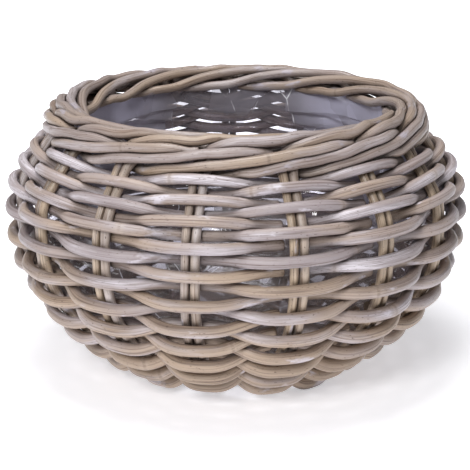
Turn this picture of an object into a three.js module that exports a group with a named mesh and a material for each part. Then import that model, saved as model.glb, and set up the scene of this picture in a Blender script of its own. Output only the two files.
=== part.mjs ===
import * as THREE from "three";

// Round rattan planter basket. Millimetres, +Z up, front towards -Y, origin under the middle of the base.

// Stakes: pairs of rods all round, thickest in the base
const PAIRS = 15;
const FIRST_PAIR_DEG = -102;
const STAKE_BASE_RADIUS = 4.1;
const STAKE_NECK_RADIUS = 3.6;
const STAKE_BORDER_RADIUS = 3.6;
const STAKE_GAP = 0.4;
const STAKE_BOW = 0.9;
const STAKE_STEPS = 12;
const STAKE_SIDES = 5;

// Side line that the stakes follow, from the edge of the base over the belly to the neck
const BASE_EDGE_RADIUS = 90;
const BELLY_RADIUS = 186;
const BELLY_HEIGHT = 137;
const NECK_RADIUS = 156;
const NECK_HEIGHT = 207;
const FLARE_DEG = 31;
const NECK_LEAN_DEG = 36;
const FLARE_SHARE = 0.95;
const LOWER_BELLY_SHARE = 0.3;
const UPPER_BELLY_SHARE = 0.5;
const NECK_SHARE = 0.7;

// Side weave: rods laid one after another in a climbing line, over one pair and behind the next
const WEAVERS = 22;
const SPARE_CROSSINGS = 2;
const FIRST_CROSSING_PAIR = 1;
const WEAVE_START = 9;
const WEAVE_STOP = 6.6;
const PITCH_TAPER_SHARE = 0.69;
const ROD_SHARE = 0.91;
const WEAVE_GAP = 0.9;
const WEAVER_SIDES = 5;

// Border: an arch in section, open below, with the stakes turning out of the neck and round it.
// Its half width and height count the spacing of its rods.
const BORDER_INSET = 12;
const BORDER_RISE = 4;
const BORDER_GAP = 0.6;
const BORDER_WIDTH_ROWS = 2.22;
const BORDER_ARCH_ROWS = 2.6;
const BORDER_STEP = 0.55;
const TURN_DOWN = 5;

// Base: two crossed bundles of stakes, fanned out and held by a flat weave
const LONG_BUNDLE_PAIRS = 4;
const CROSS_BUNDLE_PAIRS = 3;
const FAN_INSET = 28;
const FAN_STAGGER_SHARE = 0.4;
const BUNDLE_GAP = 2;
const ADDED_STAKE_TAIL = 6;
const BASE_WEAVER_RADIUS = 3;
const BASE_WEAVER_SIDES = 6;
const BASE_WEAVE_INSET = 7;
const BASE_WEAVE_LAPS = 2;
const BASE_GAP = 0.3;

// Clear film liner
const LINER_THICKNESS = 0.8;
const LINER_GAP = 0.35;
const LINER_SLACK = 1.2;
const LINER_FLOOR_INSET = 12;
const LINER_SIDES = 20;
const LINER_ROWS = 6;

const rad = THREE.MathUtils.degToRad;
const lerp = THREE.MathUtils.lerp;
const clamp = THREE.MathUtils.clamp;
const TURN = Math.PI * 2;
const PAIR_STEP = TURN / PAIRS;
const CROSSINGS = WEAVERS * PAIRS + SPARE_CROSSINGS;
const FAN_RADIUS = BASE_EDGE_RADIUS - FAN_INSET;
const BORDER_RADIUS = NECK_RADIUS - BORDER_INSET;
const BORDER_HEIGHT = NECK_HEIGHT + BORDER_RISE;
const BORDER_ROW = STAKE_NECK_RADIUS + STAKE_BORDER_RADIUS + BORDER_GAP;
const BORDER_HALF_WIDTH = BORDER_WIDTH_ROWS * BORDER_ROW;
const BORDER_ARCH_HEIGHT = BORDER_ARCH_ROWS * BORDER_ROW;
const BASE_WEAVE_OFFSET = STAKE_BASE_RADIUS + BASE_WEAVER_RADIUS + BASE_GAP;
const BASE_WEAVER_FLAT = BASE_WEAVER_RADIUS * Math.cos(Math.PI / BASE_WEAVER_SIDES);
const BASE_HEIGHT = BASE_WEAVE_OFFSET + BASE_WEAVER_FLAT;

// Side line

function sideLine() {
  const edge = new THREE.Vector2(BASE_EDGE_RADIUS, BASE_HEIGHT);
  const belly = new THREE.Vector2(BELLY_RADIUS, BELLY_HEIGHT);
  const neck = new THREE.Vector2(NECK_RADIUS, NECK_HEIGHT);
  const below = BELLY_HEIGHT - BASE_HEIGHT;
  const above = NECK_HEIGHT - BELLY_HEIGHT;
  const flare = new THREE.Vector2(Math.cos(rad(FLARE_DEG)), Math.sin(rad(FLARE_DEG)));
  const lean = new THREE.Vector2(Math.sin(rad(NECK_LEAN_DEG)), -Math.cos(rad(NECK_LEAN_DEG)));
  const line = new THREE.CurvePath();
  line.add(new THREE.CubicBezierCurve(
    edge,
    edge.clone().addScaledVector(flare, FLARE_SHARE * (BELLY_RADIUS - BASE_EDGE_RADIUS)),
    new THREE.Vector2(BELLY_RADIUS, BELLY_HEIGHT - LOWER_BELLY_SHARE * below),
    belly,
  ));
  line.add(new THREE.CubicBezierCurve(
    belly,
    new THREE.Vector2(BELLY_RADIUS, BELLY_HEIGHT + UPPER_BELLY_SHARE * above),
    neck.clone().addScaledVector(lean, NECK_SHARE * above),
    neck,
  ));
  return line;
}

const side = sideLine();
const SIDE_LENGTH = side.getLength();

// Radius and height at a distance up the side line, moved off it by a distance outwards
function sidePoint(along, outwards = 0) {
  const share = clamp(along / SIDE_LENGTH, 0, 1);
  const p = side.getPoint(share);
  const t = side.getTangent(share);
  return [p.x + t.y * outwards, p.y - t.x * outwards];
}

// Point in space at an angle round the basket, a radius and a height, with a shift sideways
function place(angle, radius, height, sideways = 0) {
  return new THREE.Vector3(
    radius * Math.cos(angle) - sideways * Math.sin(angle),
    radius * Math.sin(angle) + sideways * Math.cos(angle),
    height,
  );
}

// Rods

// Corners of a rod: one ring of them at each point, lying in the mitre between the runs on either side
function rodCorners(points, radii, sides, level) {
  const runs = points.slice(1).map((p, i) => p.clone().sub(points[i]).normalize());
  const up = new THREE.Vector3(0, 0, 1);
  const across = up.clone().cross(runs[0]).normalize();
  return points.flatMap((p, i) => {
    const before = runs[Math.max(i - 1, 0)];
    const after = runs[Math.min(i, runs.length - 1)];
    const along = before.clone().add(after).normalize();
    const bend = after.clone().sub(before);
    const stretch = bend.length() > 1e-6 ? 1 / along.dot(after) - 1 : 0;
    bend.normalize();
    if (level) across.copy(up).cross(along);
    across.addScaledVector(along, -across.dot(along)).normalize();
    const over = along.clone().cross(across);
    return Array.from({ length: sides }, (_, k) => {
      const a = (k / sides) * TURN;
      const corner = across.clone().multiplyScalar(Math.cos(a)).addScaledVector(over, Math.sin(a));
      corner.addScaledVector(bend, corner.dot(bend) * stretch);
      return corner.multiplyScalar(radii[i]).add(p);
    });
  });
}

// A many-sided rod along a line of points, closed at both ends; level keeps one face facing down
function rodMesh(name, points, radii, sides, material, level = false) {
  const index = [];
  for (let i = 0; i < points.length - 1; i += 1) {
    for (let k = 0; k < sides; k += 1) {
      const a = i * sides + k;
      const b = i * sides + ((k + 1) % sides);
      index.push(a, b, b + sides, a, b + sides, a + sides);
    }
  }
  const last = (points.length - 1) * sides;
  for (let k = 1; k < sides - 1; k += 1) {
    index.push(0, k + 1, k);
    index.push(last, last + k, last + k + 1);
  }
  const geometry = new THREE.BufferGeometry();
  geometry.setFromPoints(rodCorners(points, radii, sides, level));
  geometry.setIndex(index);
  geometry.computeVertexNormals();
  const mesh = new THREE.Mesh(geometry, material);
  mesh.name = name;
  return mesh;
}

// Stakes

const pairAngle = (pair) => rad(FIRST_PAIR_DEG) + pair * PAIR_STEP;
const stakeRadius = (along) => lerp(STAKE_BASE_RADIUS, STAKE_NECK_RADIUS, clamp(along / SIDE_LENGTH, 0, 1));

// Shift of a stake from the middle of its pair: member 0 leads, anticlockwise, and member 1 follows
const stakeShift = (member, radius) => (member === 0 ? 1 : -1) * (radius + STAKE_GAP / 2);

// The way of each stake of a pair round the border. First come stops out of the neck, then a run over
// the arch from one turn to another, from 0 outside to 180 inside.
// Laps count pairs passed. The stops give them with the shares of the half width out and the height up.
const BORDER_WAYS = [
  // The leading stake passes behind the next pair, comes out in front of two more and climbs over them
  {
    stops: [
      [0.03, 0.48, 0], [0.08, 0.36, 0.22], [0.22, 0.18, 0.28], [0.5, 0.08, 0.05], [0.86, 0.03, -0.2],
      [1.02, 0.05, -0.23], [1.28, 0.46, -0.2], [1.56, 0.88, -0.06],
    ],
    laps: [2, 3.8],
    turns: [4, 58],
  },
  // The following stake goes up through the middle, bends over the top and runs down the inside
  {
    stops: [[0, 0.42, 0], [0, 0.25, 0.45], [0.01, 0.1, 0.85]],
    laps: [0.22, 3.3],
    turns: [86, 180],
  },
];

function borderWay(angle, member) {
  const { stops, laps, turns } = BORDER_WAYS[member];
  const steps = Math.round((laps[1] - laps[0]) / BORDER_STEP);
  const arch = Array.from({ length: steps + 1 }, (_, i) => {
    const turn = rad(lerp(turns[0], turns[1], i / steps));
    return [lerp(laps[0], laps[1], i / steps), Math.cos(turn), Math.sin(turn)];
  });
  const shift = stakeShift(member, STAKE_NECK_RADIUS);
  return [...stops, ...arch].map(([lap, out, up]) => place(
    angle + lap * PAIR_STEP,
    BORDER_RADIUS + out * BORDER_HALF_WIDTH,
    BORDER_HEIGHT + up * BORDER_ARCH_HEIGHT,
    shift * Math.max(0, 1 - 4 * lap),
  ));
}

// One stake from the fan in the base, up the side and round the border, as points with their radii
function stakeRun(pair, member) {
  const angle = pairAngle(pair);
  const run = [];
  const add = (point, radius) => run.push({ point, radius });
  add(place(angle, FAN_RADIUS, BASE_HEIGHT, stakeShift(member, STAKE_BASE_RADIUS)), STAKE_BASE_RADIUS);
  for (let i = 0; i <= STAKE_STEPS; i += 1) {
    const along = (i / STAKE_STEPS) * (SIDE_LENGTH - TURN_DOWN);
    const radius = stakeRadius(along);
    add(place(angle, ...sidePoint(along, STAKE_BOW), stakeShift(member, radius)), radius);
  }
  borderWay(angle, member).forEach((point) => add(point, STAKE_BORDER_RADIUS));
  return run;
}

function stakeMesh(name, run) {
  return rodMesh(name, run.map((r) => r.point), run.map((r) => r.radius), STAKE_SIDES, stakeRattan());
}

// A bundle of stakes laid side by side across the middle of the base: both ends of each are turned up
function crossedStakes(name, nearPairs, farPairs, layer, otherBundleWidth) {
  const near = nearPairs.flatMap((pair) => [[pair, 1], [pair, 0]]);
  const far = farPairs.flatMap((pair) => [[pair, 0], [pair, 1]]);
  const middleAngle = (pairs) => (pairAngle(pairs[0]) + pairAngle(pairs[pairs.length - 1])) / 2;
  const axis = (middleAngle(nearPairs) + middleAngle(farPairs) - Math.PI) / 2;
  const spacing = 2 * STAKE_BASE_RADIUS + STAKE_GAP;
  const height = BASE_HEIGHT + layer * (spacing / 2);
  const halfBundle = ((near.length - 1) / 2) * spacing;
  return near.map((end, i) => {
    const sideways = i * spacing - halfBundle;
    const inner = halfBundle - Math.abs(sideways);
    const reach = otherBundleWidth / 2 + BUNDLE_GAP + inner * FAN_STAGGER_SHARE;
    const middle = [-reach, reach].map((x) => (
      { point: place(axis, x, height, sideways), radius: STAKE_BASE_RADIUS }));
    const run = [...stakeRun(...far[i]).reverse(), ...middle, ...stakeRun(...end)];
    return stakeMesh(name + "_" + (i + 1), run);
  });
}

// Two short stakes pushed into the base, which make the number of pairs odd
function addedStakes(pair) {
  return [0, 1].map((member) => {
    const shift = stakeShift(member, STAKE_BASE_RADIUS);
    const tail = place(pairAngle(pair), FAN_RADIUS - ADDED_STAKE_TAIL, BASE_HEIGHT, shift);
    const run = [{ point: tail, radius: STAKE_BASE_RADIUS }, ...stakeRun(pair, member)];
    return stakeMesh("added_stake_" + (member + 1), run);
  });
}

function stakes() {
  const count = (from, many) => Array.from({ length: many }, (_, i) => from + i);
  const width = (pairs) => pairs * 2 * (2 * STAKE_BASE_RADIUS + STAKE_GAP);
  const half = LONG_BUNDLE_PAIRS + CROSS_BUNDLE_PAIRS;
  const longNear = count(0, LONG_BUNDLE_PAIRS);
  const crossNear = count(LONG_BUNDLE_PAIRS, CROSS_BUNDLE_PAIRS);
  const longFar = longNear.map((pair) => pair + half).reverse();
  const crossFar = crossNear.map((pair) => pair + half).reverse();
  return [
    ...crossedStakes("long_stake", longNear, longFar, 1, width(CROSS_BUNDLE_PAIRS)),
    ...crossedStakes("cross_stake", crossNear, crossFar, -1, width(LONG_BUNDLE_PAIRS)),
    ...addedStakes(PAIRS - 1),
  ];
}

// Side weave

// How far up the side the weave has climbed, and how thick the rod is, at a share of the whole climb
function weaveAt(share) {
  const laps = CROSSINGS / PAIRS;
  const mean = (SIDE_LENGTH - WEAVE_START - WEAVE_STOP) / laps;
  const low = (2 * mean) / (1 + PITCH_TAPER_SHARE);
  const pitch = low * lerp(1, PITCH_TAPER_SHARE, share);
  return { along: WEAVE_START + (laps * share * (low + pitch)) / 2, radius: (ROD_SHARE * pitch) / 2 };
}

// Crossing where a rod ends and the next begins: about once round, and always behind a pair
const joinCrossing = (number) => (number === WEAVERS ? CROSSINGS : number * PAIRS + (number % 2));

// One rod of the side weave: even crossings pass behind the pair, odd ones in front
function weaverMesh(number) {
  const points = [];
  const radii = [];
  const first = joinCrossing(number);
  const last = joinCrossing(number + 1);
  for (let c = first; c <= last; c += 1) {
    const { along, radius } = weaveAt(c / CROSSINGS);
    const stake = stakeRadius(along);
    const outwards = (c % 2 ? 1 : -1) * (stake + radius + WEAVE_GAP);
    const halfPair = 2 * stake + STAKE_GAP / 2;
    let stops = [-halfPair, halfPair];
    if (c === first) stops = [radius - halfPair, halfPair];
    if (c === last) stops = [-halfPair];
    stops.forEach((sideways) => {
      points.push(place(pairAngle(FIRST_CROSSING_PAIR + c), ...sidePoint(along, outwards), sideways));
      radii.push(radius);
    });
  }
  const name = "weaver_" + String(number + 1).padStart(2, "0");
  return rodMesh(name, points, radii, WEAVER_SIDES, weaverRattan(number / (WEAVERS - 1)));
}

// Base weave

// One thin rod going round over and under the fanned pairs; the basket stands on its lower runs
function baseWeaver() {
  const points = [];
  const pitch = 2 * BASE_WEAVER_RADIUS + BASE_GAP;
  const halfPair = 2 * STAKE_BASE_RADIUS;
  const flat = halfPair - BASE_WEAVER_RADIUS;
  for (let c = 0; c <= BASE_WEAVE_LAPS * PAIRS; c += 1) {
    const over = c % 2 === 1;
    const radius = FAN_RADIUS + BASE_WEAVE_INSET + (c / PAIRS) * pitch;
    const height = BASE_HEIGHT + (over ? BASE_WEAVE_OFFSET : -BASE_WEAVE_OFFSET);
    const stops = over ? [-halfPair, halfPair] : [-halfPair, -flat, flat, halfPair];
    stops.forEach((sideways) => {
      points.push(place(pairAngle(c), radius, height, sideways));
    });
  }
  const radii = points.map(() => BASE_WEAVER_RADIUS);
  return rodMesh("base_weaver", points, radii, BASE_WEAVER_SIDES, baseRattan(), true);
}

// Liner

// How far inside the side line the film lies, to clear the rods that pass behind the stakes
function linerDepth(along) {
  const { radius } = weaveAt(along / SIDE_LENGTH);
  return stakeRadius(along) + WEAVE_GAP + 2 * radius + LINER_GAP + LINER_SLACK;
}

// An open bowl of film: up the outside, over its top edge and down the inside
function liner() {
  const floor = BASE_HEIGHT + BASE_WEAVE_OFFSET + BASE_WEAVER_FLAT + LINER_GAP;
  const skin = (depth) => {
    const line = [[0, floor + depth], [BASE_EDGE_RADIUS - LINER_FLOOR_INSET, floor + depth]];
    for (let i = 0; i <= LINER_ROWS; i += 1) {
      const along = lerp(WEAVE_START, SIDE_LENGTH, i / LINER_ROWS);
      line.push(sidePoint(along, -linerDepth(along) - depth));
    }
    return line;
  };
  const profile = [...skin(0), ...skin(LINER_THICKNESS).reverse()].map((p) => new THREE.Vector2(...p));
  const geometry = new THREE.LatheGeometry(profile, LINER_SIDES);
  geometry.rotateX(Math.PI / 2);
  const mesh = new THREE.Mesh(geometry, clearFilm());
  mesh.name = "liner";
  return mesh;
}

// Materials

function rattan(name, color, roughness) {
  return new THREE.MeshStandardMaterial({ name, color, roughness, metalness: 0, flatShading: true });
}

const stakeRattan = () => rattan("stake_rattan", 0xb9a283, 0.7);
const baseRattan = () => rattan("base_rattan", 0xa28f75, 0.75);

// The lower rods are tan and the upper ones greyer from the wash
function weaverRattan(share) {
  const color = new THREE.Color(0xa89479).lerp(new THREE.Color(0xa79d98), share);
  return rattan("weaver_rattan", color, 0.75);
}

function clearFilm() {
  const look = { color: 0xb4b2bc, roughness: 0.15, metalness: 0, transparent: true, opacity: 0.35 };
  return new THREE.MeshStandardMaterial({ name: "clear_film", ...look });
}

// The whole basket

const group = new THREE.Group();
group.name = "woven_basket";
group.add(...stakes());
group.add(baseWeaver());
for (let number = 0; number < WEAVERS; number += 1) {
  group.add(weaverMesh(number));
}
group.add(liner());

export default group;
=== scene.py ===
# %% [markdown]
# # Round rattan planter basket
#
# A squat ball of rattan cane. Thirty stakes stand in fifteen pairs, one long line of rods winds
# in and out of them, and the tops of the stakes are turned down, one after another, into a thick
# border. A bag of clear film inside keeps the soil in.
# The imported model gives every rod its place. This script gives each one its bends, its grain and
# the thin white wash that is brushed over the finished basket.

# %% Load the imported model
import math
import bpy
import numpy as np
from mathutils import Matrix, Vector


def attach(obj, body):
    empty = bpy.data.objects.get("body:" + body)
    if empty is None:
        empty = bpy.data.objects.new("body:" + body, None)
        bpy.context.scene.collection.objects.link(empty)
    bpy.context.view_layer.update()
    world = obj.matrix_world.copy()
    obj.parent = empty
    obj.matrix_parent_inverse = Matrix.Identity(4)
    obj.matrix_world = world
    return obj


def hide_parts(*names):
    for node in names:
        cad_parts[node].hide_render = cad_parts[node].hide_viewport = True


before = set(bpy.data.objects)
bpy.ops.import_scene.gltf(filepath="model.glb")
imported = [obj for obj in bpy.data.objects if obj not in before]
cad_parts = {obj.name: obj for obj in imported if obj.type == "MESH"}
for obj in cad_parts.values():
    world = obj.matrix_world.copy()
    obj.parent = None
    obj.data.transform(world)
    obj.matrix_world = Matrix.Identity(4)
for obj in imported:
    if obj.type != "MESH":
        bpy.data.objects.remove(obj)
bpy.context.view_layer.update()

# %% [markdown]
# ## The side line
#
# All the stakes follow one line: out from the edge of the base, over the belly and in to the neck.
# It is made of two smooth arcs that meet at the belly, where the side stands upright. An arc needs
# only its two ends and a pull at each, so the whole shape of the basket is a handful of numbers.
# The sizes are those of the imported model, as radius and height, in metres here.

# %% The side line
MM = 0.001
BASE_EDGE = np.array([90, 9.998]) * MM
BELLY = np.array([186, 137]) * MM
NECK = np.array([156, 207]) * MM
BASE_HEADING, NECK_HEADING = 31, -54
BASE_PULL, BELLY_PULL_DOWN, BELLY_PULL_UP, NECK_PULL = 0.95, 0.3, 0.5, 0.7


def arc(start, start_pull, end_pull, end):
    """A curve that leaves its start towards one point and reaches its end from another."""
    t = np.linspace(0, 1, 500)[:, None]
    return ((1 - t) ** 3 * start + 3 * (1 - t) ** 2 * t * start_pull
            + 3 * (1 - t) * t ** 2 * end_pull + t ** 3 * end)


def heading(degrees):
    return np.array([math.cos(math.radians(degrees)), math.sin(math.radians(degrees))])


below = BELLY[1] - BASE_EDGE[1]
above = NECK[1] - BELLY[1]
leaving_base = BASE_EDGE + BASE_PULL * (BELLY[0] - BASE_EDGE[0]) * heading(BASE_HEADING)
reaching_neck = NECK + NECK_PULL * above * heading(NECK_HEADING)
lower_arc = arc(BASE_EDGE, leaving_base, BELLY - [0, BELLY_PULL_DOWN * below], BELLY)
upper_arc = arc(BELLY, BELLY + [0, BELLY_PULL_UP * above], reaching_neck, NECK)
SIDE = np.vstack([lower_arc, upper_arc[1:]])
SIDE_RUN = np.concatenate([[0], np.cumsum(np.linalg.norm(np.diff(SIDE, axis=0), axis=1))])
SIDE_LENGTH = SIDE_RUN[-1]
SIDE_HEADING = np.gradient(SIDE, SIDE_RUN, axis=0)
print("side line:", round(float(SIDE_LENGTH), 4), "m from the base to the neck")

# %% [markdown]
# ## Finding a place on the basket
#
# A weaver thinks in pairs and rows, not in x and y. So every place is given here as a pair of
# stakes, a distance up the side and a distance off it, and these helpers turn that into points.
# A base spread by hand is never quite even, so each pair stands a little off its place, most of
# all at the bottom, where nothing holds the stakes yet.

# %% Places on the basket
PAIRS = 15
PAIR_STEP = math.tau / PAIRS
FIRST_PAIR = math.radians(-102)
UNEVEN = [-2.4, 0.4, 0.3, -0.5, 0.6, -0.3, 0.2, 0.5, -0.6, 0.3, -0.2, 0.5, -0.4, 0.3, -0.4]
EVENED_OUT = 0.8


def side_at(along, outwards=0.0):
    """Radius and height at a distance up the side, moved off the side line by outwards."""
    r, z = (np.interp(along, SIDE_RUN, SIDE[:, i]) for i in (0, 1))
    hr, hz = (np.interp(along, SIDE_RUN, SIDE_HEADING[:, i]) for i in (0, 1))
    return r + hz * outwards, z - hr * outwards


def pair_angle(pair, along=0.0):
    """Angle of a pair, whole or in between; the pairs stand more evenly at the neck."""
    off = np.interp(np.asarray(pair) % PAIRS, np.arange(PAIRS + 1), np.append(UNEVEN, UNEVEN[0]))
    return FIRST_PAIR + pair * PAIR_STEP + np.radians(off) * (1 - EVENED_OUT * along / SIDE_LENGTH)


def place(angle, radius, height, sideways=0.0):
    """Points at an angle round the basket, a radius and a height, with a shift sideways."""
    angle, radius, height, sideways = np.broadcast_arrays(angle, radius, height, sideways)
    return np.stack([radius * np.cos(angle) - sideways * np.sin(angle),
                     radius * np.sin(angle) + sideways * np.cos(angle), height], axis=-1)


print("pairs of stakes:", PAIRS, "and", round(float(PAIR_STEP * BELLY[0]), 4), "m apart on the belly")

# %% [markdown]
# ## A cane rod
#
# Rattan is a solid vine. It is nearly round, wavers a little in thickness, and every few hands'
# widths it has a joint: a narrow scar with a slight swelling, where a leaf grew.
# Nothing on it is quite straight or quite even, so two helpers come first: one draws a smooth
# random value along a line, and one rounds a line off through a few points.

# %% Helpers for natural lines
def wander(at, step, amount, rng):
    """A smooth random value along a line, with a new height about every step."""
    start = at.min()
    count = int((at.max() - start) / step) + 4
    knots = rng.normal(0, amount, count)
    x = (at - start) / step
    i = x.astype(int)
    f = x - i
    f = f * f * (3 - 2 * f)
    return knots[i] * (1 - f) + knots[i + 1] * f


def running_length(line):
    """Distance of each point of a line from its start."""
    return np.concatenate([[0], np.cumsum(np.linalg.norm(np.diff(line, axis=0), axis=1))])


def smooth_line(points, radii, step=3.2 * MM):
    """A rounded line through the points, with a point every step, and the radius at each."""
    points = np.asarray(points, float)
    before, after = 2 * points[0] - points[1], 2 * points[-1] - points[-2]
    p = np.vstack([before, points, after])
    out, width = [], []
    for i in range(1, len(p) - 2):
        a, b, c, d = p[i - 1:i + 3]
        k = np.sqrt([max(np.linalg.norm(v), 1e-9) for v in (b - a, c - b, d - c)])
        m1 = (c - b) + k[1] * ((b - a) / k[0] - (c - a) / (k[0] + k[1]))
        m2 = (c - b) + k[1] * ((d - c) / k[2] - (d - b) / (k[1] + k[2]))
        n = max(2, int(np.linalg.norm(c - b) / step) + 1)
        t = np.linspace(0, 1, n, endpoint=i == len(p) - 3)[:, None]
        out.append((2 * t ** 3 - 3 * t ** 2 + 1) * b + (t ** 3 - 2 * t ** 2 + t) * m1
                   + (3 * t ** 2 - 2 * t ** 3) * c + (t ** 3 - t ** 2) * m2)
        width.append(radii[i - 1] + (radii[i] - radii[i - 1]) * t[:, 0])
    return np.vstack(out), np.concatenate(width)


# %% [markdown]
# ### Rings along a line
#
# A rod could be a curve object with a thickness, but then the grain would have nothing to hold on
# to. Here it is swept as rings of points instead. The rings turn with the line and don't twist.
# Every point also remembers where it was on the straight cane before bending, so that the grain
# runs along the rod round every bend, and how far it is from the nearest joint.
# At each end the last ring is a little smaller than the one before it: that is the worn rim of
# the cut.

# %% Rings along a line
SIDES = 12
JOINT_SWELL, JOINT_WIDTH = 0.06, 3 * MM
CUT_RIM, CUT_BEVEL = 0.84, 0.18


def ring_frames(line):
    """For each point of a line, two directions across it that turn with it and don't twist."""
    ahead = np.gradient(line, axis=0)
    ahead /= np.linalg.norm(ahead, axis=1)[:, None]
    side = np.zeros_like(line)
    first = np.cross([0, 0, 1.0], ahead[0])
    side[0] = first / np.linalg.norm(first)
    for i in range(1, len(line)):
        s = side[i - 1] - ahead[i] * side[i - 1].dot(ahead[i])
        side[i] = s / np.linalg.norm(s)
    return ahead, side, np.cross(ahead, side)


def joint_distance(along, rng):
    """Signed distance from each point to the nearest joint of the cane, in metres."""
    joints = [rng.uniform(-0.2, 0.1)]
    while joints[-1] < along[-1] + 0.3:
        joints.append(joints[-1] + rng.uniform(0.22, 0.6))
    gaps = along[:, None] - np.array(joints)
    return gaps[np.arange(len(along)), np.abs(gaps).argmin(axis=1)]


def rod_rings(line, radii, rng):
    """Rings of points round a line, the same points on the straight cane, and two measures."""
    along = running_length(line)
    knot = joint_distance(along, rng)
    swollen = 1 + JOINT_SWELL * np.exp(-(knot / JOINT_WIDTH) ** 2)
    radii = radii * (1 + wander(along, 0.05, 0.02, rng)) * swollen
    ahead, across, over = ring_frames(line)
    bevel = CUT_BEVEL * radii[0] * ahead[:1], CUT_BEVEL * radii[-1] * ahead[-1:]
    centres = np.vstack([line[:1], line[:1] + bevel[0], line[1:-1], line[-1:] - bevel[1], line[-1:]])
    pick = np.concatenate([[0, 0], np.arange(1, len(line) - 1), [len(line) - 1] * 2])
    size = radii[pick] * np.concatenate([[CUT_RIM], np.ones(len(pick) - 2), [CUT_RIM]])
    turn = np.linspace(0, math.tau, SIDES, endpoint=False)
    twist = wander(along[pick], 0.09, 1.5, rng)[:, None]
    spread = size[:, None] * (1 + 0.035 * np.cos(2 * (turn[None] + twist)))
    aside = np.cos(turn)[:, None] * across[pick][:, None] + np.sin(turn)[:, None] * over[pick][:, None]
    points = centres[:, None] + spread[..., None] * aside
    cut_from = np.repeat((along[pick] + rng.uniform(0, 30))[:, None], SIDES, axis=1)
    straight = np.stack([spread * np.cos(turn), spread * np.sin(turn), cut_from], axis=-1)
    return points, straight, along[pick], knot[pick]


# %% [markdown]
# ### From rings to a rod
#
# Four-sided faces join ring to ring, and a fan of small faces closes each cut end. The sides are
# shaded smooth and the cuts flat, so the edge of a cut stays crisp.
# What the material needs is stored on the points: the place on the straight cane, the distance to
# a joint, whether the point is on a cut, and how strongly the wash took there.

# %% The rod itself
def write_attribute(mesh, name, values):
    kind = "FLOAT_VECTOR" if values.ndim == 2 else "FLOAT"
    layer = mesh.attributes.new(name, kind, "POINT")
    layer.data.foreach_set("vector" if values.ndim == 2 else "value", values.astype(np.float32).ravel())


def piece(name, mesh, material):
    """Puts a mesh into the scene as a piece of the basket."""
    made = bpy.data.objects.new(name, mesh)
    bpy.context.scene.collection.objects.link(made)
    mesh.materials.append(material)
    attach(made, "root")
    return made


def rod(name, line, radii, tone, material, rng):
    """One cane along a line, with the marks on its points that its material reads."""
    points, straight, along, knot = rod_rings(line, radii, rng)
    rings = len(points)
    grid = np.arange(rings * SIDES).reshape(rings, SIDES)
    nxt = np.roll(grid, -1, axis=1)
    quads = np.stack([grid[:-1], nxt[:-1], nxt[1:], grid[1:]], axis=-1).reshape(-1, 4)
    middle = rings * SIDES
    caps = [(middle, int(nxt[0, k]), int(grid[0, k])) for k in range(SIDES)]
    caps += [(middle + 1, int(grid[-1, k]), int(nxt[-1, k])) for k in range(SIDES)]
    verts = np.vstack([points.reshape(-1, 3), line[:1], line[-1:]])
    mesh = bpy.data.meshes.new(name)
    mesh.from_pydata(verts.tolist(), [], quads.tolist() + caps)
    smooth = np.ones(len(mesh.polygons), bool)
    smooth[len(quads):] = False
    mesh.polygons.foreach_set("use_smooth", smooth)
    cut = np.zeros((rings, SIDES))
    cut[[0, -1]] = 1
    middles = np.array([[0, 0, straight[0, 0, 2]], [0, 0, straight[-1, 0, 2]]])
    write_attribute(mesh, "straight", np.vstack([straight.reshape(-1, 3), middles]))
    write_attribute(mesh, "knot", np.append(np.repeat(knot, SIDES), [1, 1]))
    write_attribute(mesh, "cut", np.append(cut.ravel(), [1, 1]))
    tones = tone + wander(along, 0.12, 0.12, rng)
    write_attribute(mesh, "tone", np.append(np.repeat(tones, SIDES), [tone, tone]))
    return piece(name, mesh, material)


# %% [markdown]
# ## Small helpers for materials
#
# A material is a chain of nodes. Written out in full each node takes several lines, so these
# helpers add one node each and give back the socket that the next one needs.
# The one for the grain is worth a look: it is plain noise, but stretched, fine across the cane and
# drawn out along it, and it is laid on the straight cane.

# %% Small helpers for materials
def linear(c):
    """One part of a colour, from 0 to 255, as linear light."""
    return c / 255 / 12.92 if c < 10 else ((c / 255 + 0.055) / 1.055) ** 2.4


def rgb(r, g, b):
    return linear(r), linear(g), linear(b), 1


def node(tree, kind, inputs=None, **settings):
    made = tree.nodes.new("ShaderNode" + kind)
    for key, value in settings.items():
        setattr(made, key, value)
    for key, value in (inputs or {}).items():
        if isinstance(value, bpy.types.NodeSocket):
            tree.links.new(value, made.inputs[key])
        else:
            made.inputs[key].default_value = value
    return made


def blended(tree, share, a, b, kind="MIX"):
    """Colour a turning into colour b."""
    return node(tree, "Mix", {0: share, 6: a, 7: b}, data_type="RGBA", blend_type=kind).outputs[2]


def spread_out(tree, value, low, high, to_low=0.0, to_high=1.0):
    """A value from low to high, spread smoothly over another range."""
    settings = {0: value, 1: low, 2: high, 3: to_low, 4: to_high}
    return node(tree, "MapRange", settings, interpolation_type="SMOOTHSTEP").outputs[0]


def maths(tree, operation, a, b=0.0):
    return node(tree, "Math", {0: a, 1: b}, operation=operation).outputs[0]


def times(tree, a, b):
    return maths(tree, "MULTIPLY", a, b)


def plus(tree, a, b):
    return maths(tree, "ADD", a, b)


def stored(tree, name, output="Fac"):
    """What the mesh keeps at each point under a name."""
    return node(tree, "Attribute", attribute_name=name).outputs[output]


def in_basket(tree, axis):
    """Where a point is in the basket's own frame, along axis 0, 1 or 2."""
    here = node(tree, "TexCoord").outputs["Object"]
    return node(tree, "SeparateXYZ", {0: here}).outputs[axis]


def grain(tree, where, across, lengthwise, detail=3.0, roughness=0.55):
    """Noise that is fine across the cane and drawn out along it."""
    stretched = node(tree, "Mapping", {0: where, 3: (across, across, lengthwise)})
    settings = {"Vector": stretched.outputs[0], "Scale": 1.0, "Detail": detail, "Roughness": roughness}
    return node(tree, "TexNoise", settings).outputs[0]


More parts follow.
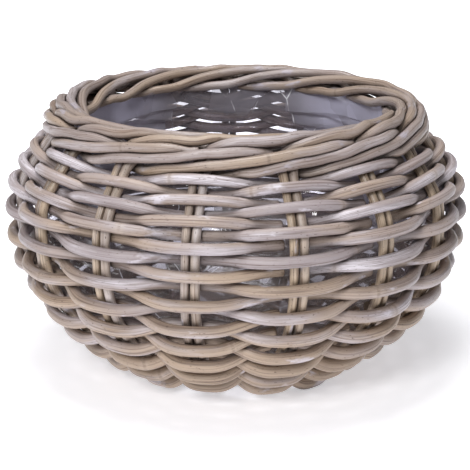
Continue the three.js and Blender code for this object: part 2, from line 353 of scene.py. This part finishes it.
# %% [markdown]
# ## Rattan, washed
#
# The cane is tan and slightly glossy where its skin is left on. A thinned white paint is brushed
# over the basket and wiped off, so it stays as a lilac-grey veil, thickest on the belly and the
# border, and hardly reaches the lowest rods.
# From below upwards the layers are: bare cane turning into veil, dark lengthwise streaks, wash that
# clings to the fibres, a few chalky strokes, and small brown specks.

# %% The layers of the wash
CHALK = rgb(214, 208, 217)
SPECK = rgb(74, 50, 40)


def washed(tree, where, streaks, fibres, bare, veil, streak, wash):
    """Bare cane under a grey veil, with darker streaks, patches of white wash and specks."""
    tone = stored(tree, "tone")
    patches = grain(tree, where, 70, 9, 4.0)
    veiled = plus(tree, tone, times(tree, maths(tree, "SUBTRACT", patches, 0.5), 1.6))
    colour = blended(tree, spread_out(tree, veiled, 0.1, 0.9), rgb(*bare), rgb(*veil))
    dark = times(tree, spread_out(tree, streaks, 0.46, 0.68), 0.75)
    colour = blended(tree, dark, colour, rgb(*streak))
    pale = times(tree, spread_out(tree, patches, 0.5, 0.66), spread_out(tree, fibres, 0.36, 0.58))
    pale = times(tree, pale, spread_out(tree, tone, 0.0, 0.8, 0.2, 0.95))
    colour = blended(tree, pale, colour, rgb(*wash))
    chalk = spread_out(tree, grain(tree, where, 38, 16, 5.0, 0.6), 0.6, 0.66)
    chalk = times(tree, chalk, spread_out(tree, fibres, 0.3, 0.55, 0.25, 0.9))
    colour = blended(tree, chalk, colour, CHALK)
    specks = grain(tree, where, 900, 330, 2.0)
    return blended(tree, times(tree, spread_out(tree, specks, 0.64, 0.72), 0.7), colour, SPECK)


# %% [markdown]
# ### Joints, cuts and nooks
#
# A joint shows as a pale ring with a thin brown scar in it, worn away here and there. A cut end
# shows open pores. The border is made a little darker than the side. In the nooks between rods the
# cane is painted darker brown as shade; the material finds these nooks by how little open air is
# near.

# %% Joints, cuts and nooks
SCAR, JOINT_RING = rgb(104, 78, 62), rgb(186, 170, 156)
PORE, PITH = rgb(96, 76, 62), rgb(164, 144, 124)
NOOK_PAINTED_SHADE = rgb(92, 74, 62)
BORDER_FROM, BORDER_FULL = 200 * MM, 214 * MM


def jointed(tree, fibres, colour):
    """Adds the joints to a colour; gives back the scar as well, for the relief."""
    near = maths(tree, "ABSOLUTE", stored(tree, "knot"))
    worn = spread_out(tree, fibres, 0.35, 0.65, 0.0, 0.5)
    scar = times(tree, spread_out(tree, near, 0.0019, 0.0004), worn)
    colour = blended(tree, spread_out(tree, near, 0.006, 0.001, 0.0, 0.3), colour, JOINT_RING)
    return blended(tree, scar, colour, SCAR), scar


def cut_and_nook_shaded(tree, where, colour, border_tint):
    """Adds the pores of a cut, the darker border and painted shade in the nooks."""
    pores = grain(tree, where, 5200, 10, 1.0)
    end_grain = blended(tree, spread_out(tree, pores, 0.4, 0.6), PORE, PITH)
    colour = blended(tree, stored(tree, "cut"), colour, end_grain)
    # The border is made a little darker than the side by multiplying its colour.
    on_border = spread_out(tree, in_basket(tree, 2), BORDER_FROM, BORDER_FULL)
    colour = blended(tree, on_border, colour, rgb(*border_tint), "MULTIPLY")
    # Painted shade: the cane is darkened to brown where little open air is near, in the nooks between
    # rods.
    open_air = node(tree, "AmbientOcclusion", {"Distance": 0.01}, samples=6).outputs["AO"]
    painted_nook_shade = spread_out(tree, open_air, 0.75, 0.22, 0.0, 0.75)
    return blended(tree, painted_nook_shade, colour, NOOK_PAINTED_SHADE, "MULTIPLY")


# %% [markdown]
# ### Three canes
#
# The streaks and fibres that colour the cane also lift its surface a little and change its gloss,
# so colour and relief agree. The stakes keep their skin and shine the most, the side rods are
# greyer, and the base rod has seen hardly any wash.

# %% The washed cane
def rattan(name, bare, veil, streak, wash, gloss, border_tint=(255, 255, 255)):
    """A cane material from its four colours, its gloss and its tint on the border."""
    material = bpy.data.materials.new(name)
    material.use_nodes = True
    tree = material.node_tree
    shader = tree.nodes["Principled BSDF"]
    where = stored(tree, "straight", "Vector")
    streaks = grain(tree, where, 800, 10, 4.0, 0.65)
    fibres = grain(tree, where, 2400, 50, 2.0)
    colour = washed(tree, where, streaks, fibres, bare, veil, streak, wash)
    colour, scar = jointed(tree, fibres, colour)
    colour = cut_and_nook_shaded(tree, where, colour, border_tint)
    height = plus(tree, times(tree, streaks, 0.6), times(tree, fibres, 0.5))
    height = maths(tree, "SUBTRACT", height, times(tree, scar, 0.35))
    bump = node(tree, "Bump", {"Strength": 0.6, "Distance": 0.0007, "Height": height})
    tree.links.new(bump.outputs[0], shader.inputs["Normal"])
    tree.links.new(colour, shader.inputs["Base Color"])
    tree.links.new(spread_out(tree, fibres, 0.3, 0.7, gloss, gloss + 0.2), shader.inputs["Roughness"])
    shader.inputs["Specular IOR Level"].default_value = 0.55
    return material


side_rattan = rattan("side_rattan", bare=(178, 157, 138), veil=(163, 152, 154), streak=(96, 76, 66),
                     wash=(218, 212, 219), gloss=0.34)
stake_rattan = rattan("stake_rattan", bare=(207, 186, 162), veil=(192, 178, 170), streak=(118, 93, 76),
                      wash=(228, 220, 220), gloss=0.26, border_tint=(208, 205, 208))
base_rattan = rattan("base_rattan", bare=(160, 140, 122), veil=(152, 141, 138), streak=(92, 70, 60),
                     wash=(196, 188, 190), gloss=0.5)
print("canes:", [material.name for material in (side_rattan, stake_rattan, base_rattan)])

# %% [markdown]
# ## The side weave
#
# Plain randing: each rod goes in front of one pair of stakes and behind the next, round and round.
# With an odd number of pairs the rod lands on the other side of every pair in the next row, so one
# long climbing line makes the whole wall. The rods get thinner towards the neck, and the rows with
# them. Above the belly the rows lie a little higher than an even climb would put them.

# %% Where the weave runs
WEAVERS = 22
CROSSINGS = WEAVERS * PAIRS + 2
STAKE_BASE, STAKE_NECK = 4.1 * MM, 3.6 * MM
STAKE_GAP = 0.4 * MM
WEAVE_START, WEAVE_STOP, TAPER = 9 * MM, 6.6 * MM, 0.69
MEAN_PITCH = (SIDE_LENGTH - WEAVE_START - WEAVE_STOP) * PAIRS / CROSSINGS
LOW_PITCH = 2 * MEAN_PITCH / (1 + TAPER)
ROW_FILL = 0.91
LIFT_AT = np.array([130, 150, 166, 184, 202, 220, 238]) * MM
LIFT_BY = np.array([0, 0.9, 3.5, 4.8, 3.3, 2.0, 0.3]) * MM


def stake_radius(along):
    return STAKE_BASE + (STAKE_NECK - STAKE_BASE) * np.clip(along / SIDE_LENGTH, 0, 1)


def weave_at(crossing):
    """Distance up the side and rod radius, at a crossing counted from the first."""
    share = crossing / CROSSINGS
    pitch = LOW_PITCH * (1 + (TAPER - 1) * share)
    along = WEAVE_START + CROSSINGS / PAIRS * share * (LOW_PITCH + pitch) / 2
    return along, ROW_FILL * pitch / 2


def lifted(along):
    return along + np.interp(along, LIFT_AT, LIFT_BY)


def join_crossing(number):
    """The crossing where a side rod begins, always behind a pair."""
    return CROSSINGS if number == WEAVERS else number * PAIRS + number % 2


row_heights = [round(float(pitch) / MM, 2) for pitch in (LOW_PITCH, LOW_PITCH * TAPER)]
print("rows:", row_heights, "mm high at the base and at the neck")

# %% [markdown]
# ### One side rod after another
#
# A rod is about one lap long, and each new one starts behind a pair, where the old one was cut off
# against it. In and out is a wave, but a stiff rod lies flat against the stakes and turns between
# them, so the wave is squared off a little, more so on the thick rods low down.
# On the steep lower side each rod also leans: it lies lower where it is in front.

# %% The rods of the side weave
POINTS_PER_PAIR = 20
TOUCH = 0.15 * MM
TAIL_ROOM = 2 * MM


def side_way(first, last, rng):
    """Points and radii of a side rod from one crossing to another."""
    share = (first + last) / 2 / CROSSINGS
    along_end = weave_at(last)[0]
    tail = (2 * stake_radius(along_end) + TAIL_ROOM) / (PAIR_STEP * side_at(along_end)[0])
    at = np.linspace(first + 0.02, last - tail, int((last - first) * POINTS_PER_PAIR))
    along, radius = weave_at(at)
    wave = -np.cos(np.pi * at)
    flat = 0.05 + 0.08 * (1 - share)
    swing = (1 + flat) * wave + flat * np.cos(3 * np.pi * at)
    lean = (2.0 - 2.2 * min(1.0, share / 0.5)) * MM
    drift = wander(at, 0.9, 0.35 * MM, rng)
    outwards = swing * (stake_radius(along) + radius + TOUCH) + wander(at, 1.3, 0.3 * MM, rng)
    line = place(pair_angle(1 + at, along), *side_at(lifted(along) - lean * wave + drift, outwards))
    thickness = 1.04 + 0.1 * share - 0.07 * np.linspace(0, 1, len(at)) + rng.uniform(-0.03, 0.03)
    return line, radius * thickness, share


rods, side_lines = {}, {}
for number in range(WEAVERS):
    rng = np.random.default_rng(100 + number)
    line, width, share = side_way(join_crossing(number), join_crossing(number + 1), rng)
    name = "side_rod_%02d" % (number + 1)
    side_lines[name] = line, width
    tone = 0.1 + 0.75 * share ** 0.8 + rng.uniform(-0.22, 0.22)
    rods[name] = rod(name, line, width, tone, side_rattan, rng)
    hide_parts("weaver_%02d" % (number + 1))
print("side weave:", len(rods), "rods,", round(CROSSINGS / PAIRS, 1), "laps")

# %% [markdown]
# ## The border
#
# At the neck both stakes of a pair are bent over to the right. The leading one goes behind the next
# pair, comes out low in front of two more and climbs over them. The following one goes up through
# the middle, bends over the top and runs down the inner face, where the next one covers its tip.
# Every pair does the same, so in each place the border is about eight rods thick. Only two leading
# tips are left loose in front.
# Each way is written as stops: how many pairs further, and how far out and up from the middle of
# the border, as shares of the arch that the rods are laid over.

# %% Ways round the border
BORDER_ROD = 4.25 * MM
BORDER = np.array([144, 211]) * MM
BORDER_ARCH = np.array([17.0, 20.0]) * MM
LOOSE_TIPS, LOOSE_END = (0, 1), (3.75, 0.66, 0.84)
LEADING = {
    "stops": [(0.03, 0.48, 0), (0.08, 0.36, 0.22), (0.22, 0.18, 0.28), (0.5, 0.08, 0.05),
              (0.86, 0.03, -0.26), (1.07, 0.1, -0.36), (1.32, 0.5, -0.34), (1.6, 0.9, -0.14)],
    "laps": (2.0, 3.5),
    "turn": (8, 44),
    "bend": 1,
    "tip": [(0.24, 0.54, 0.56), (0.4, 0.34, 0.42)],
}
FOLLOWING = {
    "stops": [(0, 0.42, 0), (0.03, 0.3, 0.36), (0.13, 0.3, 0.7)],
    "laps": (0.4, 3.1),
    "turn": (62, 158),
    "bend": 1.35,
    "tip": [(0.3, -0.82, 0.38), (0.6, -0.5, 0.28), (0.85, -0.36, 0.33)],
}


def border_way(pair, member, rng):
    """Stops of one stake from the neck over the arch to its tip."""
    way = (LEADING, FOLLOWING)[member]
    first, last = way["laps"]
    low, high = way["turn"]
    laps = np.linspace(first, last + rng.uniform(-0.1, 0.1), 6)
    share = ((laps - first) / (last - first)) ** way["bend"]
    turn = np.radians(low + (high - low) * share + rng.uniform(-2, 2))
    reach = 1 + wander(laps, 1.1, 0.025, rng)
    over_arch = list(zip(laps, np.cos(turn) * reach, np.sin(turn) * reach))
    tucked = [(laps[-1] + lap, out, up) for lap, out, up in way["tip"]]
    if member == 0 and pair in LOOSE_TIPS:
        tucked = [LOOSE_END]
    return way["stops"] + over_arch + tucked


# %% [markdown]
# ### One stake from the base to its tip
#
# A stake and its share of the border are one and the same cane, so they are one line here too: a
# first point in the fan of the base, then up the side, then the stops of the border. It sways a
# little on the side, and gets a little thinner towards its tip.

# %% One stake from the base to its tip
BASE_HEIGHT = BASE_EDGE[1]
FAN = 62 * MM
TURN_DOWN = 5 * MM
THINNER_PER_PAIR = 0.025


def stake_shift(member, radius):
    """How far a stake stands to the side of the middle of its pair."""
    return (1 if member == 0 else -1) * (radius + STAKE_GAP / 2)


def stake_run(pair, member, rng):
    """Points and radii of a stake from the fan of the base, up the side and round the border."""
    along = np.linspace(0, SIDE_LENGTH - TURN_DOWN, 22)
    radius = stake_radius(along)
    sway = wander(along, 0.06, 0.5 * MM, rng) * np.sin(np.pi * along / SIDE_LENGTH)
    shift = stake_shift(member, radius) + sway
    points = [place(pair_angle(pair), FAN, BASE_HEIGHT, stake_shift(member, STAKE_BASE))]
    points += list(place(pair_angle(pair, along), *side_at(along), shift))
    radii = [STAKE_BASE] + list(radius)
    for lap, out, up in border_way(pair, member, rng):
        shift = stake_shift(member, STAKE_NECK) * max(0.0, 1 - 4 * lap)
        points.append(place(pair_angle(pair + lap, SIDE_LENGTH), BORDER[0] + out * BORDER_ARCH[0],
                            BORDER[1] + up * BORDER_ARCH[1], shift))
        radii.append(BORDER_ROD * (1 - THINNER_PER_PAIR * lap))
    return points, radii


# %% [markdown]
# ### Two bundles crossed
#
# Fourteen of the pairs are the two ends of long stakes. They lie side by side in two bundles that
# cross in the middle of the base, one on the other, and fan out from there. The fifteenth pair,
# which makes the number odd, is two short stakes pushed in beside the others.

# %% The crossed and the added stakes
LONG_PAIRS = [0, 1, 2, 3], [10, 9, 8, 7]
CROSS_PAIRS = [4, 5, 6], [13, 12, 11]
ADDED_PAIR = 14
SIDE_BY_SIDE = 2 * STAKE_BASE + STAKE_GAP
BUNDLE_ROOM = 2 * MM


def set_stake(name, line, width, rng):
    """Keeps a stake for later; on the side its thickness differs from its neighbours'."""
    on_side = np.interp(line[:, 2], [0.0, 0.03, 0.19, 0.205], [0, 1, 1, 0])
    stakes[name] = [line, width * (1 + on_side * rng.uniform(-0.1, 0.08)), rng]


def bundle(name, near_pairs, far_pairs, layer, other_width):
    near = [(pair, member) for pair in near_pairs for member in (1, 0)]
    far = [(pair, member) for pair in far_pairs for member in (0, 1)]
    middle = [(pair_angle(p[0]) + pair_angle(p[-1])) / 2 for p in (near_pairs, far_pairs)]
    axis = (middle[0] + middle[1] - math.pi) / 2
    half = (len(near) - 1) / 2 * SIDE_BY_SIDE
    for i, (start, end) in enumerate(zip(far, near)):
        rng = np.random.default_rng(300 + 20 * layer + i)
        sideways = i * SIDE_BY_SIDE - half
        reach = other_width / 2 + BUNDLE_ROOM + 0.4 * (half - abs(sideways))
        back, back_radii = stake_run(*start, rng)
        out, out_radii = stake_run(*end, rng)
        height = BASE_HEIGHT + layer * SIDE_BY_SIDE / 2
        crossing = list(place(axis, np.array([-reach, reach]), height, sideways))
        radii = back_radii[::-1] + [STAKE_BASE] * 2 + out_radii
        line, width = smooth_line(back[::-1] + crossing + out, radii)
        set_stake("%s_%d" % (name, i + 1), line, width, rng)


stakes = {}
bundle("long_stake", *LONG_PAIRS, 1, 6 * SIDE_BY_SIDE)
bundle("cross_stake", *CROSS_PAIRS, -1, 8 * SIDE_BY_SIDE)
for member in (0, 1):
    rng = np.random.default_rng(380 + member)
    points, radii = stake_run(ADDED_PAIR, member, rng)
    tail = place(pair_angle(ADDED_PAIR), FAN - 6 * MM, BASE_HEIGHT, stake_shift(member, STAKE_BASE))
    line, width = smooth_line([tail] + points, [STAKE_BASE] + radii)
    set_stake("added_stake_%d" % (member + 1), line, width, rng)
stake_lengths = [float(running_length(line)[-1]) for line, _, _ in stakes.values()]
print("stakes:", len(stakes), "lines, the longest", round(max(stake_lengths), 2), "m")

# %% [markdown]
# ## Rods under pressure
#
# A border is pulled tight while the cane is wet, so its rods lie hard against each other.
# Here every place where two rods cut into each other pushes both apart, again and again, until
# they only touch. A push is smoothed along its rod, since cane bends and doesn't kink.

# %% Pressing rods apart
def press_apart(lines, widths, gives, rounds=60):
    """Moves rods until they only touch; gives says how easily each point moves, from 0 to 1."""
    points, width, give = np.vstack(lines), np.concatenate(widths), np.concatenate(gives)
    lengths = [len(line) for line in lines]
    owner = np.repeat(np.arange(len(lines)), lengths)
    for _ in range(rounds):
        square = (points ** 2).sum(axis=1)
        distance = square[:, None] + square[None] - 2 * points @ points.T
        close = (distance < (width[:, None] + width[None]) ** 2) & (owner[:, None] < owner[None])
        i, j = np.nonzero(close)
        apart = points[i] - points[j]
        gap = np.linalg.norm(apart, axis=1) + 1e-9
        push = apart * ((width[i] + width[j] - gap) / gap / (give[i] + give[j] + 1e-9))[:, None]
        move = np.zeros_like(points)
        hits = np.ones(len(points))
        for at, sign in ((i, 1), (j, -1)):
            np.add.at(move, at, sign * push * give[at][:, None])
            np.add.at(hits, at, 1)
        move /= hits[:, None] ** 0.5
        for _ in range(4):
            between = (np.roll(move, 1, axis=0) + np.roll(move, -1, axis=0)) / 4 + move / 2
            move = between * (give > 0)[:, None]
        points = points + move
    return np.split(points, np.cumsum(lengths)[:-1])


# %% [markdown]
# ### Drawing the border tight
#
# Only the parts of the stakes above the side take part, and they begin to give at the neck. The
# two top rods of the side are there as well, but don't move: the border settles on them.

# %% Drawing the border tight
ABOVE_SIDE = 0.19
GIVES_FROM, GIVES_FULL = 0.195, 0.208

lines, widths, gives, places = [], [], [], []
for name, (line, width, _) in stakes.items():
    for part in np.split(np.arange(len(line)), np.nonzero(np.diff(line[:, 2] > ABOVE_SIDE))[0] + 1):
        if line[part[0], 2] > ABOVE_SIDE:
            lines.append(line[part])
            widths.append(width[part])
            gives.append(np.interp(line[part, 2], [GIVES_FROM, GIVES_FULL], [0, 1]))
            places.append((name, part))
for number in (21, 22):
    line, width = side_lines["side_rod_%02d" % number]
    lines.append(line)
    widths.append(width)
    gives.append(np.zeros(len(line)))
shifts = []
for (name, part), settled in zip(places, press_apart(lines, widths, gives)):
    shifts.append(float(np.abs(settled - stakes[name][0][part]).max()) / MM)
    stakes[name][0][part] = settled
middle_shift = round(float(np.median(shifts)), 1)
print("border rods moved up to", round(max(shifts), 1), "mm each, half of them less than", middle_shift)

# %% [markdown]
# ### The stakes in place
#
# Now each line becomes a rod. Stakes come from different vines, so each takes one of four tones.
# The wash is thicker on the border, so the tone rises where a stake turns into it.

# %% The stakes
STAKE_TONES = [0.05, 0.3, 0.6, 0.85]


def wash_border(made):
    """Raises the stored tone of a stake where it turns into the border."""
    layer = made.data.attributes["tone"]
    tones = np.zeros(len(layer.data), np.float32)
    layer.data.foreach_get("value", tones)
    co = np.zeros(len(layer.data) * 3, np.float32)
    made.data.vertices.foreach_get("co", co)
    lift = np.interp(co[2::3], [0.195, 0.21], [0, 1])
    layer.data.foreach_set("value", tones * (1 - lift) + (0.4 + 0.55 * tones) * lift)


for name, (line, width, rng) in stakes.items():
    tone = rng.choice(STAKE_TONES) + rng.uniform(-0.08, 0.08)
    rods[name] = rod(name + "_cane", line, width, tone, stake_rattan, rng)
    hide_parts(name)
    wash_border(rods[name])
print("stakes:", len(stakes))

# %% [markdown]
# ## The flat weave of the base
#
# One thin rod goes twice round the fan, over one pair and under the next, and holds it spread.
# The basket stands on the places where it passes underneath.

# %% The base rod
BASE_ROD = 2.8 * MM
BASE_ROW = 6.3 * MM
LAPS_OF_BASE = 2

rng = np.random.default_rng(500)
at = np.linspace(0, LAPS_OF_BASE * PAIRS, LAPS_OF_BASE * PAIRS * 16)
swing = -1.12 * np.cos(np.pi * at) + 0.12 * np.cos(3 * np.pi * at)
height = BASE_HEIGHT + swing * (BASE_HEIGHT - BASE_ROD)
line = place(pair_angle(at), FAN + 7 * MM + at / PAIRS * BASE_ROW, height)
base_rod = rod("base_rod", line, np.full(len(at), BASE_ROD), 0.2, base_rattan, rng)
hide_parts("base_weaver")
print("base rod:", round(float(running_length(line)[-1]), 2), "m in", LAPS_OF_BASE, "laps")

# %% [markdown]
# ## The film liner
#
# A round piece of clear film is pressed into the basket and gathered to its shape. It can't
# stretch, so it crumples: flat facets meet in sharp folds, deeper near the neck, where the most
# film is to spare. A cloth simulation would take long and be hard to steer. A sum of a few
# slanting zigzags gives the same kind of folds at once: ridges with flat faces between them.

# %% Folds between flat facets
FOLDS = 5


def creases(angle, along, rng):
    """Depth of the folds from 0 to 1, a sum of random slanting zigzags round the film."""
    total = np.zeros_like(angle)
    for _ in range(FOLDS):
        waves = rng.integers(2, 14)
        slant = rng.uniform(-70, 70)
        value = (waves * angle / math.tau + slant * along + rng.uniform(0, 1)) % 1
        total += np.abs(value - 0.5) * rng.uniform(0.4, 1.0)
    return (total - total.min()) / (total.max() - total.min())


# %% [markdown]
# ### The gathered film
#
# The film is built as rows of points: a floor over the stakes of the base, a wall just inside the
# weave that follows the side line with its folds, and a top edge drawn in under the border, where
# the turned-down stakes trap it.

# %% The gathered film
AROUND = 480
FILM_FLOOR = 20.6 * MM
FILM_GAP = 2.2 * MM
CAUGHT_RADIUS, CAUGHT_HEIGHT = 137 * MM, 218 * MM

rng = np.random.default_rng(700)
around = np.linspace(0, math.tau, AROUND, endpoint=False)
wall = np.linspace(WEAVE_START, SIDE_LENGTH - 1 * MM, 130)
rod_here = ROW_FILL * LOW_PITCH * (1 + (TAPER - 1) * wall / SIDE_LENGTH) / 2
depth = stake_radius(wall) + 2 * rod_here + FILM_GAP
angle, along = np.meshgrid(around, wall)
spare = np.interp(wall, [0, 0.05, SIDE_LENGTH], [0, 5 * MM, 12 * MM])[:, None]
radius, height = side_at(along, -(depth[:, None] + spare * creases(angle, along, rng)))
caught = np.linspace(0.25, 1, 4)[:, None]
radius = np.vstack([radius, radius[-1:] + caught * (CAUGHT_RADIUS - radius[-1:])])
height = np.vstack([height, height[-1:] + caught * (CAUGHT_HEIGHT - height[-1:])])
shares = np.linspace(0.04, 1, 16)[:, None]
floor_height = FILM_FLOOR + shares ** 6 * (height[0] - FILM_FLOOR)
floor_rows = place(around[None], shares * radius[0], floor_height)
rows = np.concatenate([floor_rows[:-1], place(around[None], radius, height)])
grid = np.arange(len(rows) * AROUND).reshape(len(rows), AROUND)
nxt = np.roll(grid, -1, axis=1)
faces = np.stack([grid[:-1], grid[1:], nxt[1:], nxt[:-1]], axis=-1).reshape(-1, 4).tolist()
faces += [(grid.size, int(grid[0, k]), int(nxt[0, k])) for k in range(AROUND)]
verts = np.vstack([rows.reshape(-1, 3), [[0, 0, FILM_FLOOR]]])
film_mesh = bpy.data.meshes.new("film_liner")
film_mesh.from_pydata(verts.tolist(), [], faces)
print("film:", len(faces), "faces, up to", round(float(verts[:, 2].max()), 3), "m high")

# %% [markdown]
# ## Clear film
#
# Most of the light goes straight through the film, a little grey is taken out of it, and the rest
# is mirrored: hardly anything where the film faces the eye and nearly all where it is seen along
# its face. Glass would bend the light and need a thickness; a see-through shader with a mirror
# added to it shows a thin film better. Small facets in the relief break the mirror up. Low down,
# where soil would press the film flat, they are weaker.

# %% The clear side of the film
CREASE_SCALE = 26.0

film = bpy.data.materials.new("clear_film")
film.use_nodes = True
tree = film.node_tree
where = node(tree, "TexCoord").outputs["Object"]
up = in_basket(tree, 2)
drawn = node(tree, "Mapping", {"Vector": where, "Scale": (1, 1, 0.55)}).outputs[0]
facets = node(tree, "TexVoronoi", {"Vector": drawn, "Scale": CREASE_SCALE}, distance="CHEBYCHEV")
ripple = node(tree, "TexNoise", {"Vector": where, "Scale": 70.0, "Detail": 3.0}).outputs[0]
relief = plus(tree, facets.outputs["Distance"], times(tree, ripple, 0.05))
relief = times(tree, relief, spread_out(tree, up, 0.1, 0.18, 0.15, 1.0))
bump = node(tree, "Bump", {"Strength": 0.8, "Distance": 0.012, "Height": relief})
edge = node(tree, "LayerWeight", {"Blend": 0.5, "Normal": bump.outputs[0]}).outputs["Facing"]
mirrored = plus(tree, times(tree, maths(tree, "POWER", edge, 2.5), 0.8), 0.1)
mirrored = times(tree, mirrored, spread_out(tree, up, 0.1, 0.18, 0.35, 1.0))
shine = node(tree, "BsdfGlossy", {"Color": mirrored, "Roughness": 0.1, "Normal": bump.outputs[0]})
clear = node(tree, "BsdfTransparent", {"Color": (0.74, 0.73, 0.78, 1)})
both = node(tree, "AddShader", {0: clear.outputs[0], 1: shine.outputs[0]})
print("clear film:", len(tree.nodes), "nodes so far")

# %% [markdown]
# ### Where the film is milky
#
# Film that is rubbed or folded scatters the light and looks milky. There is more of that in some
# facets than in others, where it lies in layers on the floor and under the border, and along the
# sharp creases, which are painted with thin white lines as highlights. At both sides of the mouth
# the film is painted milkier and lighter, as a pool of light. High up the haze is a lit lilac grey;
# low down it is painted darker and browner, as painted shade over the rods behind it.

# %% The milky side of the film
# Painted light and shade: the haze is a lit lilac grey high up and a darker, browner painted shade low
# down.
SHADED_LOW_HAZE, LIT_HIGH_HAZE = rgb(124, 114, 110), rgb(158, 154, 165)
SIDE_PAINTED_LIGHT, CREASE_PAINTED_GLINT = rgb(206, 204, 226), rgb(248, 248, 252)

milky = tree.nodes["Principled BSDF"]
milky.inputs["Roughness"].default_value = 0.3
rubbing = {"Vector": where, "Scale": 16.0, "Detail": 4.0, "Distortion": 1.5}
rubbed = node(tree, "TexNoise", rubbing).outputs[0]
cells = {"Vector": drawn, "Scale": CREASE_SCALE}
crinkle = node(tree, "TexVoronoi", cells, feature="DISTANCE_TO_EDGE").outputs[0]
# Painted highlight: thin white lines along the creases, where the facets meet.
crease_glint = times(tree, spread_out(tree, crinkle, 0.018, 0.0), spread_out(tree, rubbed, 0.53, 0.64))
patch = node(tree, "SeparateColor", {0: facets.outputs["Color"]}).outputs[0]
across = maths(tree, "ABSOLUTE", in_basket(tree, 0))
# Painted light: both sides of the mouth are made milkier and lighter, as if lit from the mouth.
aside = times(tree, spread_out(tree, across, 0.05, 0.1), spread_out(tree, up, 0.13, 0.165))
milk = spread_out(tree, patch, 0.2, 1.0, 0.05, 0.42)
milk = plus(tree, milk, spread_out(tree, rubbed, 0.4, 0.7, 0.0, 0.15))
milk = plus(tree, milk, spread_out(tree, up, 0.178, 0.205, 0.0, 0.36))
milk = plus(tree, milk, times(tree, crease_glint, 0.6))
milk = plus(tree, milk, times(tree, aside, 0.45))
layers = spread_out(tree, up, 0.12, 0.07, 0.0, 0.25)
milk = node(tree, "Math", {0: milk, 1: layers}, operation="ADD", use_clamp=True).outputs[0]
haze = blended(tree, spread_out(tree, up, 0.11, 0.18), SHADED_LOW_HAZE, LIT_HIGH_HAZE)
haze = blended(tree, aside, haze, SIDE_PAINTED_LIGHT)
haze = blended(tree, crease_glint, haze, CREASE_PAINTED_GLINT)
tree.links.new(haze, milky.inputs["Base Color"])
whole = node(tree, "MixShader", {0: milk, 1: both.outputs[0], 2: milky.outputs[0]})
tree.links.new(whole.outputs[0], tree.nodes["Material Output"].inputs["Surface"])
print("clear film:", len(tree.nodes), "nodes in all")

# %% [markdown]
# ### The film in place
#
# The film is put into the scene as a piece of the basket, and the liner of the imported model is
# hidden.

# %% The film in place
liner = piece("film_liner", film_mesh, film)
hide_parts("liner")

# %% [markdown]
# ## Floor
#
# The basket stands on a sheet of white paper that runs back without an edge. In a studio such a
# paper is lit brighter behind the subject, until it turns pure white. Here the floor glows a
# little by itself, more so further back, and still takes the soft shadow under the basket.

# %% Floor
REACH = 6
floor_mesh = bpy.data.meshes.new("floor")
floor_corners = [(-REACH, -REACH, 0), (REACH, -REACH, 0), (REACH, REACH, 0), (-REACH, REACH, 0)]
floor_mesh.from_pydata(floor_corners, [], [(0, 1, 2, 3)])
floor = bpy.data.objects.new("floor", floor_mesh)
bpy.context.scene.collection.objects.link(floor)
paper = bpy.data.materials.new("floor_paper")
paper.use_nodes = True
tree = paper.node_tree
shader = tree.nodes["Principled BSDF"]
shader.inputs["Base Color"].default_value = (0.92, 0.92, 0.94, 1)
shader.inputs["Roughness"].default_value = 0.9
shader.inputs["Emission Color"].default_value = (0.94, 0.95, 1.0, 1)
glow = spread_out(tree, in_basket(tree, 1), 0.25, 0.7, 0.45, 1.4)
tree.links.new(glow, shader.inputs["Emission Strength"])
floor_mesh.materials.append(paper)
print("floor:", 2 * REACH, "m wide, glowing behind the basket")

# %% [markdown]
# ## Light
#
# Two soft lamps do the work. One stands in front, high and to the left, and draws the long gleams
# on the rods; the other hangs above and opens up the inside. A weak white sky fills the rest.
# The plain view transform keeps the white of the paper white.

# %% Light
SKY = 0.24
bpy.context.scene.view_settings.view_transform = "Standard"
world = bpy.data.worlds.new("studio")
bpy.context.scene.world = world
world.use_nodes = True
world.node_tree.nodes["Background"].inputs["Color"].default_value = (1.0, 1.0, 1.0, 1)
world.node_tree.nodes["Background"].inputs["Strength"].default_value = SKY


def aim(thing, spot, target):
    """Puts a lamp or a camera on a spot and points it at a target."""
    thing.location = spot
    thing.rotation_euler = (Vector(target) - thing.location).to_track_quat("-Z", "Y").to_euler()


def lamp(name, spot, target, size, power):
    data = bpy.data.lights.new(name, "AREA")
    data.size = size
    data.energy = power
    made = bpy.data.objects.new(name, data)
    bpy.context.scene.collection.objects.link(made)
    aim(made, spot, target)


lamp("front_light", (-0.6, -1.5, 1.15), (0, 0, 0.12), 0.5, 18.5)
lamp("top_light", (-0.1, -0.1, 1.5), (0, 0, 0.12), 0.7, 15)
print("light: two lamps and a sky of", SKY)

# %% [markdown]
# ## Camera
#
# The camera stands in front, a hand's width to the left, and looks down at about 17 degrees, just
# enough to see into the mouth. A long lens from over a metre away keeps the belly's shape calm.

# %% Camera
camera_data = bpy.data.cameras.new("camera")
camera = bpy.data.objects.new("camera", camera_data)
bpy.context.scene.collection.objects.link(camera)
bpy.context.scene.camera = camera
aim(camera, (-0.0481, -1.1466, 0.4690), (0, 0, 0.1181))
camera_data.lens = 104.55
camera_data.shift_x = -0.0021
camera_data.shift_y = -0.0178
print("camera:", round(camera.location.length, 2), "m from the middle of the base")
